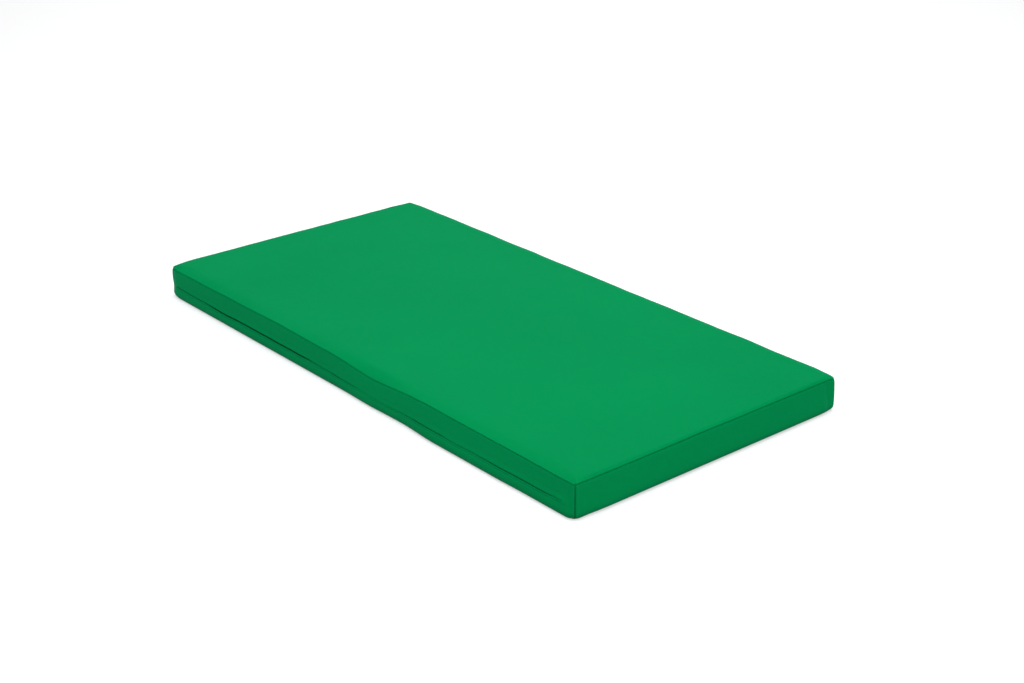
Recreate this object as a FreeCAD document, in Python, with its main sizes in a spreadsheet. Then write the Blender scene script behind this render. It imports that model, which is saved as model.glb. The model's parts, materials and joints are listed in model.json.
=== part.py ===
import FreeCAD, Part
import os
import re

import Sketcher

# Landing mat: a foam core in a sewn cover of coated cloth. Millimetres, +Z up, +X along the mat's length.
# The origin is the middle of the underside. The zip side faces -Y and is closed by a flap over the zip.
#
# Places near a side are given as a depth in from the mat's outer face, and places near the zip as a
# rise from the level of the zip's middle.

SIZES = {
    "mat_length": 2000,
    "mat_width": 1000,
    "mat_height": 100,
    "firm_sheet": 20,
    "foam_inset": 4.2,
    "foam_groove_depth": 11.4,
    "foam_groove_rise": 10,
    "corner_radius": 12,
    "cloth": 0.8,
    "layer_gap": 0.2,
    "seam_allowance": 12,
    "thread": 0.6,
    "zip_level": 50,
    "zip_half_length": 955,
    "zip_end_gap": 2,
    "flap_top_height": 70,
    "flap_edge_height": 38,
    "flap_clearance": 0.3,
    "upper_fold_height": 72.4,
    "lower_fold_height": 34.8,
    "turnback_rise": 9,
    "tape": 0.6,
    "tape_depth": 6,
    "tape_edge_rise": 0.8,
    "tape_flat_rise": 7.5,
    "tape_sewn_rise": 10,
    "tape_outer_rise": 19,
    "tape_stitch_rise": 17.5,
    "flap_hem": 16,
    "flap_fold_radius": 0.72,
    "stitch_end_gap": 5,
    "zip_stitch_thickness": 0.5,
    "hem_stitch_thickness": 0.4,
    "corner_stitch_gap": 1,
    "coil_width": 3,
    "coil_height": 2.6,
    "coil_radius": 0.75,
    "coil_half_length": 926,
    "stop_length": 4,
    "stop_height": 3,
    "stop_radius": 0.6,
    "tab_gap": 1,
    "tab_length": 18,
    "slider_rest": 917,
    "slider_length": 16,
    "slider_width": 12,
    "slider_wall": 1.2,
    "slider_flange": 1.4,
    "slider_nose": 3,
    "slider_post_gap": 0.5,
    "bail_length": 10,
    "bail_width": 3,
    "bail_bar": 0.9,
    "bail_radius": 0.72,
    "puller_length": 26,
    "puller_width": 7,
    "puller_thickness": 1.2,
    "puller_window_length": 6,
    "puller_window_width": 4,
    "puller_depth": 3.7,
    "puller_hole": 1.5,
}

# Depths, in expressions of the sheet's values, from the outside in.
HEM = "(2 * cloth)"
SKIRT = f"({HEM} + layer_gap)"
THREAD_INSET = f"({SKIRT} + cloth + layer_gap)"
TURNBACK = f"({HEM} + flap_clearance)"
SEWN_TAPE = f"({TURNBACK} + cloth + layer_gap)"
SLIDER_OUTER = "(tape_depth - layer_gap - slider_wall)"
SLIDER_CHANNEL = "(tape_depth - layer_gap)"
COIL = "(tape_depth + tape)"
SLIDER_INNER = f"({COIL} + coil_height + layer_gap)"

doc = FreeCAD.newDocument("LandingMat")
sheet = doc.addObject("Spreadsheet::Sheet", "Sizes")
for row, (name, value) in enumerate(SIZES.items(), start=1):
    sheet.set(f"A{row}", name)
    sheet.set(f"B{row}", str(value))
    sheet.setAlias(f"B{row}", name)
doc.recompute()

parts = []


def bound(expression):
    """The expression with each of the sheet's names in the form that the document reads."""
    return re.sub(r"\b[a-z_]+\b", lambda word: f"Sizes.{word.group()}", str(expression))


def number(expression):
    """What the expression comes to now."""
    return float(sheet.evalExpression(bound(expression)))


def front(depth):
    """Y at a depth in from the zip side's outer face."""
    return f"-mat_width / 2 + {depth}"


def level(side, rise):
    """Z at a rise from the zip's middle, above it for side +1 and below it for side -1."""
    return f"zip_level + {side} * ({rise})"


def new_body(name, along="0", up="0"):
    body = doc.addObject("PartDesign::Body", name)
    body.Label = name
    body.setExpression("Placement.Base.x", bound(along))
    body.setExpression("Placement.Base.z", bound(up))
    parts.append(body)
    return body


def sketch_on(body, role, offset):
    """A sketch on one of the body's origin planes, moved by offset along that plane's normal.

    XY: across is X, up is Y, normal +Z. XZ: across is X, up is Z, normal -Y. YZ: across is Y, up is Z,
    normal +X.
    """
    sketch = body.newObject("Sketcher::SketchObject", "Sketch")
    plane = next(item for item in body.Origin.OriginFeatures if item.Role == role)
    sketch.AttachmentSupport = (plane, [""])
    sketch.MapMode = "FlatFace"
    sketch.setExpression("AttachmentOffset.Base.z", bound(offset))
    return sketch


def fix_point(sketch, geometry, end, across, up):
    """Hold one end of a sketch line at a place given by two expressions."""
    for kind, expression in (("DistanceX", across), ("DistanceY", up)):
        index = sketch.addConstraint(Sketcher.Constraint(kind, geometry, end, number(expression)))
        name = f"c{index}"
        sketch.renameConstraint(index, name)
        sketch.setExpression(f"Constraints.{name}", bound(expression))


def outline(sketch, corners):
    """A closed outline of straight lines through corners, each a pair of expressions."""
    places = [FreeCAD.Vector(number(across), number(up), 0) for across, up in corners]
    count = len(places)
    lines = [
        sketch.addGeometry(Part.LineSegment(places[i], places[(i + 1) % count])) for i in range(count)
    ]
    for i in range(count):
        sketch.addConstraint(Sketcher.Constraint("Coincident", lines[i], 2, lines[(i + 1) % count], 1))
    for line, (across, up) in zip(lines, corners):
        fix_point(sketch, line, 1, across, up)


def box_corners(left, right, low, high):
    return [(left, low), (right, low), (right, high), (left, high)]


def circle(sketch, across, up, radius):
    centre = FreeCAD.Vector(number(across), number(up), 0)
    ring = sketch.addGeometry(Part.Circle(centre, FreeCAD.Vector(0, 0, 1), number(radius)))
    fix_point(sketch, ring, 3, across, up)
    index = sketch.addConstraint(Sketcher.Constraint("Radius", ring, number(radius)))
    sketch.renameConstraint(index, "radius")
    sketch.setExpression("Constraints.radius", bound(radius))


def extrude(body, role, start, length, *outlines, cut=False, middle=False):
    """Pad, or cut, outlines from start along the plane's normal, or evenly both ways from there."""
    sketch = sketch_on(body, role, start)
    for corners in outlines:
        outline(sketch, corners)
    return extrude_sketch(body, sketch, length, cut, middle)


def extrude_sketch(body, sketch, length, cut=False, middle=False):
    before = body.Shape.Volume if body.Tip else 0
    feature = body.newObject("PartDesign::Pocket" if cut else "PartDesign::Pad", "Feature")
    feature.Profile = sketch
    feature.setExpression("Length", bound(length))
    if cut:
        # a pocket runs against the sketch's normal unless it is turned round
        feature.Reversed = True
    if middle:
        feature.SideType = "Symmetric"
    doc.recompute()
    change = body.Shape.Volume - before
    if (change >= 0) if cut else (change <= 0):
        raise ValueError(f"{body.Label}: {feature.Name} changes the volume by {change:.3f} mm3")
    return feature


def round_edges(body, radius, wanted):
    """Fillet the edges of the body's last feature whose middle point passes the wanted test."""
    doc.recompute()
    last = body.Tip
    names = [
        f"Edge{i}"
        for i, edge in enumerate(last.Shape.Edges, start=1)
        if wanted(edge, edge.CenterOfMass)
    ]
    fillet = body.newObject("PartDesign::Fillet", "Rounding")
    fillet.Base = (last, names)
    fillet.setExpression("Radius", bound(radius))
    doc.recompute()
    if not names or "Invalid" in fillet.State:
        raise ValueError(f"{body.Label}: no edge could be rounded to {number(radius):.2f} mm")


def is_along(edge, direction):
    """Whether an edge is a straight line in a direction."""
    if not isinstance(edge.Curve, Part.Line):
        return False
    return edge.Curve.Direction.cross(direction).Length < 1e-6


def is_at(place, wanted):
    return abs(place - wanted) < 0.01


X_WAY = FreeCAD.Vector(1, 0, 0)
Y_WAY = FreeCAD.Vector(0, 1, 0)
Z_WAY = FreeCAD.Vector(0, 0, 1)


def plan(inset):
    """The mat's plan, brought in by inset on all four sides."""
    return box_corners(
        f"-mat_length / 2 + {inset}",
        f"mat_length / 2 - {inset}",
        f"-mat_width / 2 + {inset}",
        f"mat_width / 2 - {inset}",
    )


def round_back_corners(body, inset):
    """Round the two back corners of a layer at an inset, so that all layers' corners share a centre.

    Inner corners are rounded before outer ones, because a thin wall would be cut open otherwise.
    """
    corner_y = number(f"mat_width / 2 - {inset}")

    def is_back_corner(edge, middle):
        return is_along(edge, Z_WAY) and is_at(middle.y, corner_y)

    round_edges(body, f"corner_radius - {inset}", is_back_corner)


# ---------------------------------------------------------------- foam core


def foam_base_block():
    body = new_body("foam_base_block")
    floor = "cloth + layer_gap"
    extrude(body, "XY_Plane", floor, f"mat_height - firm_sheet - 2 * ({floor})", plan("foam_inset"))
    round_back_corners(body, "foam_inset")
    # room for the zip chain and its slider
    groove = box_corners(
        "-mat_width / 2",
        front("foam_groove_depth"),
        level(-1, "foam_groove_rise"),
        level(1, "foam_groove_rise"),
    )
    extrude(body, "YZ_Plane", "-mat_length / 2", "mat_length", groove, cut=True)


def foam_top_sheet():
    body = new_body("foam_top_sheet")
    extrude(body, "XY_Plane", "mat_height - firm_sheet - cloth - layer_gap", "firm_sheet", plan("foam_inset"))
    round_back_corners(body, "foam_inset")


# ---------------------------------------------------------------- cover


def cover_panel(name, low, hollow_low):
    """A flat panel whose edges are turned through 90 degrees into the seam, as a shallow tray."""
    body = new_body(name)
    skirt_inside = f"({SKIRT} + cloth)"
    extrude(body, "XY_Plane", low, "seam_allowance", plan(SKIRT))
    extrude(body, "XY_Plane", hollow_low, "seam_allowance - cloth", plan(skirt_inside), cut=True)
    round_back_corners(body, skirt_inside)
    round_back_corners(body, SKIRT)


def wrap_plan(outer, inner, front_depth):
    """A strip round the right end, the back and the left end, between two insets."""
    start = front(front_depth)
    return [
        (f"mat_length / 2 - {outer}", start),
        (f"mat_length / 2 - {outer}", f"mat_width / 2 - {outer}"),
        (f"-mat_length / 2 + {outer}", f"mat_width / 2 - {outer}"),
        (f"-mat_length / 2 + {outer}", start),
        (f"-mat_length / 2 + {inner}", start),
        (f"-mat_length / 2 + {inner}", f"mat_width / 2 - {inner}"),
        (f"mat_length / 2 - {inner}", f"mat_width / 2 - {inner}"),
        (f"mat_length / 2 - {inner}", start),
    ]


def cover_wrap_boxing():
    """The boxing strip, double where its four edges are turned in and single between them."""
    body = new_body("cover_wrap_boxing")
    extrude(body, "XY_Plane", "0", "mat_height", wrap_plan("0", HEM, "0"))
    single = wrap_plan("cloth", "(2 * corner_radius)", "seam_allowance")
    extrude(body, "XY_Plane", "seam_allowance", "mat_height - 2 * seam_allowance", single, cut=True)
    for inset in (HEM, "cloth", "0"):
        round_back_corners(body, inset)


def zip_side_strip(name, side, seam_height, hem_low, fold_height, end_height, flange_low, flange_length):
    """One of the two strips of the zip side, folded back behind the flap and sewn to its tape.

    Past the ends of the zip the strip keeps its face as far as the end seam, and each end is turned in
    to lie along the boxing.
    """
    body = new_body(name)
    half = f"(mat_length / 2 - {SKIRT})"
    opening = "(zip_half_length + zip_end_gap)"
    face = [
        (f"-{half}", seam_height),
        (half, seam_height),
        (half, end_height),
        (opening, end_height),
        (opening, fold_height),
        (f"-{opening}", fold_height),
        (f"-{opening}", end_height),
        (f"-{half}", end_height),
    ]
    extrude(body, "XZ_Plane", "mat_width / 2 - cloth", "cloth", face)
    hem = box_corners(f"-{half}", half, hem_low, f"{hem_low} + seam_allowance")
    extrude(body, "XZ_Plane", f"mat_width / 2 - {HEM}", "cloth", hem)
    jog = f"{fold_height} + {side} * cloth"
    edge = level(side, "turnback_rise")
    turned_back = [
        (front("cloth"), fold_height),
        (front("cloth"), jog),
        (front(f"({TURNBACK} + cloth)"), jog),
        (front(f"({TURNBACK} + cloth)"), edge),
        (front(TURNBACK), edge),
        (front(TURNBACK), fold_height),
    ]
    extrude(body, "YZ_Plane", "0", f"2 * {opening}", turned_back, middle=True)
    for end in (f"-{half}", f"{half} - cloth"):
        flange = box_corners(end, f"{end} + cloth", flange_low, f"{flange_low} + {flange_length}")
        extrude(body, "XZ_Plane", "mat_width / 2 - seam_allowance", "seam_allowance", flange)


def zip_flap():
    """Cloth folded double along its lower edge, hanging over the zip."""
    body = new_body("zip_flap")
    section = box_corners(front("0"), front(HEM), "flap_edge_height", "flap_top_height")
    extrude(body, "YZ_Plane", "0", "2 * zip_half_length", section, middle=True)
    low = number("flap_edge_height")
    round_edges(body, "flap_fold_radius", lambda edge, middle: is_along(edge, X_WAY) and is_at(middle.z, low))


# ---------------------------------------------------------------- zip


def zip_tape(name, side):
    """Tape sewn behind the turned-back cloth, running in to the level of the chain."""
    body = new_body(name)
    sewn_inner = f"({SEWN_TAPE} + tape)"
    section = [
        (front(SEWN_TAPE), level(side, "tape_outer_rise")),
        (front(SEWN_TAPE), level(side, "tape_sewn_rise")),
        (front("tape_depth"), level(side, "tape_flat_rise")),
        (front("tape_depth"), level(side, "tape_edge_rise")),
        (front(COIL), level(side, "tape_edge_rise")),
        (front(COIL), level(side, "tape_flat_rise + layer_gap")),
        (front(sewn_inner), level(side, "tape_sewn_rise + layer_gap")),
        (front(sewn_inner), level(side, "tape_outer_rise")),
    ]
    extrude(body, "YZ_Plane", "0", "2 * zip_half_length", section, middle=True)


def zip_coil(name, side):
    """One row of the coil chain, sewn to the inner face of its tape."""
    body = new_body(name)
    section = box_corners(
        front(COIL),
        front(f"({COIL} + coil_height)"),
        level(side, "tape_edge_rise"),
        level(side, "tape_edge_rise + coil_width"),
    )
    extrude(body, "YZ_Plane", "0", "2 * coil_half_length", section, middle=True)
    inner = number(front(f"({COIL} + coil_height)"))
    round_edges(body, "coil_radius", lambda edge, middle: is_along(edge, X_WAY) and is_at(middle.y, inner))


def zip_top_stops():
    """A stop on each tape, just past the closed end of the chain, each a solid of its own."""
    stops = []
    for side in (1, -1):
        stop = doc.addObject("Part::Box", "TopStop")
        stop.setExpression("Length", bound("stop_length"))
        stop.setExpression("Width", bound("stop_height"))
        stop.setExpression("Height", bound("coil_width"))
        stop.setExpression("Placement.Base.x", bound("coil_half_length + layer_gap"))
        stop.setExpression("Placement.Base.y", bound(front(COIL)))
        low = "tape_edge_rise" if side > 0 else "tape_edge_rise + coil_width"
        stop.setExpression("Placement.Base.z", bound(level(side, low)))
        stops.append(stop)
    group = doc.addObject("Part::Compound", "zip_top_stops")
    group.Label = "zip_top_stops"
    group.Links = stops
    parts.append(group)


def zip_bottom_stop():
    """The stop that holds the two tapes together at the open end of the chain."""
    body = new_body("zip_bottom_stop")
    shape = box_corners(
        "-coil_half_length - layer_gap - 2 * stop_length",
        "-coil_half_length - layer_gap",
        level(-1, "tape_edge_rise + coil_width"),
        level(1, "tape_edge_rise + coil_width"),
    )
    extrude(body, "XZ_Plane", f"mat_width / 2 - {COIL} - stop_height", "stop_height", shape)
    round_edges(body, "stop_radius", lambda edge, middle: is_along(edge, Y_WAY))


def zip_end_tab(name, side):
    """A cloth tab sewn behind both tapes at one end of the zip."""
    body = new_body(name)
    outer = f"{side} * (zip_half_length - tab_gap)"
    inner = f"{side} * (zip_half_length - tab_gap - tab_length)"
    left, right = (inner, outer) if side > 0 else (outer, inner)
    shape = box_corners(left, right, level(-1, "tape_flat_rise"), level(1, "tape_flat_rise"))
    extrude(body, "XZ_Plane", f"mat_width / 2 - {COIL} - cloth", "cloth", shape)


def zip_slider_body():
    """Two plates joined by a post, with side flanges round the chain and a bail for the puller."""
    body = new_body("zip_slider_body", along="slider_rest", up="zip_level")
    plate = [
        ("-slider_length / 2", "-slider_width / 2"),
        ("slider_length / 2 - slider_nose", "-slider_width / 2"),
        ("slider_length / 2", "-slider_width / 4"),
        ("slider_length / 2", "slider_width / 4"),
        ("slider_length / 2 - slider_nose", "slider_width / 2"),
        ("-slider_length / 2", "slider_width / 2"),
    ]
    post = box_corners(
        "slider_length / 4",
        "slider_length / 2 - slider_post_gap",
        "-slider_wall / 2",
        "slider_wall / 2",
    )
    channel_height = f"({SLIDER_INNER} - {SLIDER_CHANNEL})"
    extrude(body, "XZ_Plane", f"mat_width / 2 - {SLIDER_INNER} - slider_wall", "slider_wall", plate)
    extrude(body, "XZ_Plane", f"mat_width / 2 - {SLIDER_INNER}", channel_height, post)
    extrude(body, "XZ_Plane", f"mat_width / 2 - {SLIDER_CHANNEL}", "slider_wall", plate)
    for side in (1, -1):
        near = f"{side} * (slider_width / 2 - slider_flange)"
        far = f"{side} * slider_width / 2"
        low, high = (near, far) if side > 0 else (far, near)
        flange = box_corners("-slider_length / 2", "slider_length / 2 - slider_nose", low, high)
        depth_of_flange = f"({SLIDER_INNER} - {COIL} - layer_gap)"
        extrude(body, "XZ_Plane", f"mat_width / 2 - {SLIDER_INNER}", depth_of_flange, flange)
    bail_outer = f"-mat_width / 2 + {TURNBACK}"
    bail_foot = f"-mat_width / 2 + {SLIDER_OUTER}"
    bail = [
        ("-bail_length / 2", bail_foot),
        ("-bail_length / 2", bail_outer),
        ("bail_length / 2", bail_outer),
        ("bail_length / 2", bail_foot),
        ("bail_length / 2 - bail_bar", bail_foot),
        ("bail_length / 2 - bail_bar", f"{bail_outer} + bail_bar"),
        ("-bail_length / 2 + bail_bar", f"{bail_outer} + bail_bar"),
        ("-bail_length / 2 + bail_bar", bail_foot),
    ]
    extrude(body, "XY_Plane", "0", "bail_width", bail, middle=True)
    outer = number(bail_outer)
    round_edges(body, "bail_radius", lambda edge, middle: is_along(edge, Z_WAY) and is_at(middle.y, outer))


def zip_puller():
    """A flat pull tab whose eye bar turns in the slider's bail."""
    body = new_body("zip_puller", along="slider_rest", up="zip_level")
    tab = [
        ("0", "puller_window_width / 2"),
        ("-puller_window_length", "puller_window_width / 2"),
        ("-puller_window_length", "-puller_window_width / 2"),
        ("0", "-puller_window_width / 2"),
        ("0", "-puller_width / 2"),
        ("-puller_length", "-puller_width / 2"),
        ("-puller_length", "puller_width / 2"),
        ("0", "puller_width / 2"),
    ]
    start = "mat_width / 2 - puller_depth - puller_thickness / 2"
    extrude(body, "XZ_Plane", start, "puller_thickness", tab)
    far = number("-puller_length")
    round_edges(body, "puller_width / 3", lambda edge, middle: is_along(edge, Y_WAY) and is_at(middle.x, far))
    hole = sketch_on(body, "XZ_Plane", "mat_width / 2 - puller_depth - puller_thickness")
    circle(hole, "-puller_length + puller_width / 2", "0", "puller_hole")
    extrude_sketch(body, hole, "2 * puller_thickness", cut=True)
    eye_bar = sketch_on(body, "XY_Plane", "0")
    circle(eye_bar, "0", front("puller_depth"), "puller_thickness / 2")
    extrude_sketch(body, eye_bar, "puller_width", middle=True)


# ---------------------------------------------------------------- threads


def seam_thread(name, height):
    """The lockstitch that runs all round a panel's seam, on the inner side of the turned edge."""
    body = new_body(name)
    outer = plan(THREAD_INSET)
    inner = plan(f"({THREAD_INSET} + thread)")
    extrude(body, "XY_Plane", f"{height} - thread / 2", "thread", outer, inner)
    round_back_corners(body, f"({THREAD_INSET} + thread)")
    round_back_corners(body, THREAD_INSET)


def corner_thread(name, side):
    """The lockstitch of the upright seam between the boxing and the zip side."""
    thread = doc.addObject("Part::Box", name)
    thread.Label = name
    thread.setExpression("Length", bound("thread"))
    thread.setExpression("Width", bound("thread"))
    thread.setExpression("Height", bound("mat_height - 2 * (seam_allowance + corner_stitch_gap)"))
    left = f"mat_length / 2 - {THREAD_INSET} - thread" if side > 0 else f"-mat_length / 2 + {THREAD_INSET}"
    thread.setExpression("Placement.Base.x", bound(left))
    thread.setExpression("Placement.Base.y", bound(front("seam_allowance / 2")))
    thread.setExpression("Placement.Base.z", bound("seam_allowance + corner_stitch_gap"))
    parts.append(thread)


def stitch_row(name, low, depth, thickness):
    """A straight row of stitching along the zip."""
    thread = doc.addObject("Part::Box", name)
    thread.Label = name
    thread.setExpression("Length", bound("2 * (zip_half_length - stitch_end_gap)"))
    thread.setExpression("Width", bound(thickness))
    thread.setExpression("Height", bound("thread"))
    thread.setExpression("Placement.Base.x", bound("-zip_half_length + stitch_end_gap"))
    thread.setExpression("Placement.Base.y", bound(front(depth)))
    thread.setExpression("Placement.Base.z", bound(low))
    parts.append(thread)


foam_base_block()
foam_top_sheet()
cover_panel("cover_top_panel", "mat_height - seam_allowance", "mat_height - seam_allowance")
cover_panel("cover_bottom_panel", "0", "cloth")
cover_wrap_boxing()
end_seam_height = "flap_edge_height"
upper_end_height = f"({end_seam_height} + layer_gap)"
flange_low = "(seam_allowance + cloth)"
zip_side_strip(
    "zip_side_upper_strip",
    side=1,
    seam_height="mat_height",
    hem_low="mat_height - seam_allowance",
    fold_height="upper_fold_height",
    end_height=upper_end_height,
    flange_low=upper_end_height,
    flange_length=f"(mat_height - {flange_low} - {upper_end_height})",
)
zip_side_strip(
    "zip_side_lower_strip",
    side=-1,
    seam_height="0",
    hem_low="0",
    fold_height="lower_fold_height",
    end_height=end_seam_height,
    flange_low=flange_low,
    flange_length=f"({end_seam_height} - {flange_low})",
)
zip_flap()
zip_tape("zip_tape_upper", 1)
zip_tape("zip_tape_lower", -1)
zip_coil("zip_coil_upper", 1)
zip_coil("zip_coil_lower", -1)
zip_top_stops()
zip_bottom_stop()
zip_end_tab("zip_end_tab_right", 1)
zip_end_tab("zip_end_tab_left", -1)
zip_slider_body()
zip_puller()
seam_thread("seam_thread_top", "(mat_height - seam_allowance * 2 / 3)")
seam_thread("seam_thread_bottom", "(seam_allowance * 2 / 3)")
corner_thread("seam_thread_corner_right", 1)
corner_thread("seam_thread_corner_left", -1)
sewn_tape_inner = f"({SEWN_TAPE} + tape)"
upper_stitch_height = level(1, "tape_stitch_rise")
lower_stitch_height = level(-1, "tape_stitch_rise")
stitch_row("zip_stitch_upper_row", upper_stitch_height, sewn_tape_inner, "zip_stitch_thickness")
stitch_row("zip_stitch_lower_row", lower_stitch_height, sewn_tape_inner, "zip_stitch_thickness")
stitch_row("flap_hem_stitch", "flap_edge_height + flap_hem", HEM, "hem_stitch_thickness")

doc.recompute()
for item in doc.Objects:
    if "Invalid" in item.State or "Error" in item.State:
        raise ValueError(f"{item.Label} failed: {item.State}")
for part in parts:
    if part.Shape.isNull() or not part.Shape.isValid():
        raise ValueError(f"{part.Label} has no valid shape")

os.makedirs("parts", exist_ok=True)
for part in parts:
    part.Shape.exportStep(f"parts/{part.Label}.step")
    box = part.Shape.BoundBox
    print(
        f"{part.Label:26s} {len(part.Shape.Solids)} solid  {part.Shape.Volume / 1000:10.2f} cm3  "
        f"x {box.XMin:.2f} {box.XMax:.2f}  y {box.YMin:.2f} {box.YMax:.2f}  z {box.ZMin:.2f} {box.ZMax:.2f}"
    )
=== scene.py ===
"""The looks of a landing mat: a foam core in a sewn cover of coated cloth, closed by a zip under a flap.

Metres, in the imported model's frame: +X along the mat, -Y is the zip side, +Z up, the floor at z = 0.
An inset is a distance in from the mat's outer face, and a negative one stands proud of it.
"""

import json
import math

import bpy
import numpy as np
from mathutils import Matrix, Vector, noise


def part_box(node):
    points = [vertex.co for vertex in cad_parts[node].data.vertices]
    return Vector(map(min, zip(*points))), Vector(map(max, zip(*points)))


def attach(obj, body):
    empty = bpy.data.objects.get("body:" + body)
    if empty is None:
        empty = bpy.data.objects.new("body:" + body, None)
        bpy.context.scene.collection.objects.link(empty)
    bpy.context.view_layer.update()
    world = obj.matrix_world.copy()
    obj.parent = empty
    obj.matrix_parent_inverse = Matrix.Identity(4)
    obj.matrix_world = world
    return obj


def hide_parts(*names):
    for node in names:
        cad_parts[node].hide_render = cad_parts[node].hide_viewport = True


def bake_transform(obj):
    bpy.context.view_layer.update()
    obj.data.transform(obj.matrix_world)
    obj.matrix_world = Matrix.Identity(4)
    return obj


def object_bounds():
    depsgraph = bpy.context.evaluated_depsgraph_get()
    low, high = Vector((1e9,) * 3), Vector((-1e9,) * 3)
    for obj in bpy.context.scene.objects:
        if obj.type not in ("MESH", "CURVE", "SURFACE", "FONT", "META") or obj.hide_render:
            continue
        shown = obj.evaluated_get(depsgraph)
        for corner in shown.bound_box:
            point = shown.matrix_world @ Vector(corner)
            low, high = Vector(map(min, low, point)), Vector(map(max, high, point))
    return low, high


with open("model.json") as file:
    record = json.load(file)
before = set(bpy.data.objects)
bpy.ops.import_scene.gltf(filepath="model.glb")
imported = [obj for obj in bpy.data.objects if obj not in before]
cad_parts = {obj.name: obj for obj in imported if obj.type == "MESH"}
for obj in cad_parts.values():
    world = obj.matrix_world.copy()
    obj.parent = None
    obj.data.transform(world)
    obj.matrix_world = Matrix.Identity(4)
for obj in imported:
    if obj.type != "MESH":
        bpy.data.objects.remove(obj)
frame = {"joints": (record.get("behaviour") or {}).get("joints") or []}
CAD_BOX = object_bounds()

CORE = "core_and_cover"
FLAP = "flap"
MM = 0.001

# ---------------------------------------------------------------- sizes, from the frame

HALF_LENGTH = CAD_BOX[1].x
HALF_WIDTH = CAD_BOX[1].y
HEIGHT = CAD_BOX[1].z
FLAP_LOW, FLAP_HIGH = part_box("zip_flap")
HINGE = Vector(next(joint for joint in frame["joints"] if joint["name"] == "flap_lift")["pos_m"])
FLAP_HALF = FLAP_HIGH.x
ZIP_LEVEL = (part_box("zip_coil_upper")[1].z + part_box("zip_coil_lower")[0].z) / 2
CLOTH = 0.8 * MM
LAYER_GAP = 0.15 * MM
ALLOWANCE = 9 * MM  # cloth past each seam

# Plan radius of each corner: A and B, the zip side's right and left ends, are sewn and C and D are not.
RADIUS_A, RADIUS_B, RADIUS_C, RADIUS_D = 7 * MM, 14 * MM, 15 * MM, 9 * MM
FINE_STEP = 0.7 * MM
COARSE_STEP = 9 * MM
STEP_GROWTH = 1.22

# ---------------------------------------------------------------- camera, light and floor


def camera():
    """A long lens, well above the mat and off its zip side's right end."""
    azimuth, elevation = math.radians(49.67), math.radians(23.62)
    distance = 5.451
    aim = Vector((0.034, 0.112, 0.0))
    back = Vector(
        (
            math.sin(azimuth) * math.cos(elevation),
            -math.cos(azimuth) * math.cos(elevation),
            math.sin(elevation),
        )
    )
    data = bpy.data.cameras.new("camera")
    data.sensor_width = 36.0
    data.lens = 61.25
    eye = bpy.data.objects.new("camera", data)
    eye.location = aim + back * distance
    eye.rotation_mode = "QUATERNION"
    eye.rotation_quaternion = (-back).to_track_quat("-Z", "Y")
    bpy.context.scene.collection.objects.link(eye)
    bpy.context.scene.camera = eye


def area_light(name, place, target, size, power, color):
    data = bpy.data.lights.new(name, "AREA")
    data.shape = "RECTANGLE"
    data.size, data.size_y = size
    data.energy = power
    data.color = color
    light = bpy.data.objects.new(name, data)
    light.location = place
    light.rotation_mode = "QUATERNION"
    light.rotation_quaternion = (Vector(target) - Vector(place)).to_track_quat("-Z", "Y")
    bpy.context.scene.collection.objects.link(light)


def studio():
    """A white room: a softbox overhead, a fill off the right end, a lit background and a white floor."""
    world = bpy.data.worlds.new("studio")
    bpy.context.scene.world = world
    world.use_nodes = True
    background = world.node_tree.nodes["Background"]
    background.inputs["Color"].default_value = (1.0, 1.0, 1.0, 1.0)
    background.inputs["Strength"].default_value = 0.62
    area_light("softbox", (0.2, 0.0, 3.4), (0, 0, 0), (5.5, 4.5), 194, (0.95, 1.0, 1.06))
    area_light("fill", (4.3, -0.9, 2.1), (0.6, 0, 0.1), (2.0, 1.6), 34, (1.0, 1.0, 1.0))
    area_light("background_light", (-3.9, 3.5, 2.4), (-3.9, 3.5, 0), (5.0, 5.0), 55, (1.0, 1.0, 1.0))
    bpy.context.scene.view_settings.view_transform = "Standard"

    corners = [(-30, -30), (30, -30), (30, 30), (-30, 30)]
    floor_z = -0.3 * MM
    mesh = bpy.data.meshes.new("floor")
    mesh.from_pydata([(x, y, floor_z) for x, y in corners], [], [(0, 1, 2, 3)])
    floor = bpy.data.objects.new("floor", mesh)
    bpy.context.scene.collection.objects.link(floor)
    material = bpy.data.materials.new("floor_paper")
    material.use_nodes = True
    shader = material.node_tree.nodes["Principled BSDF"]
    shader.inputs["Base Color"].default_value = (0.5, 0.5, 0.5, 1.0)
    shader.inputs["Roughness"].default_value = 0.9
    shader.inputs["Specular IOR Level"].default_value = 0.1
    shader.inputs["Emission Color"].default_value = (1.0, 1.0, 1.0, 1.0)
    shader.inputs["Emission Strength"].default_value = 0.47
    mesh.materials.append(material)


# ---------------------------------------------------------------- materials


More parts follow.
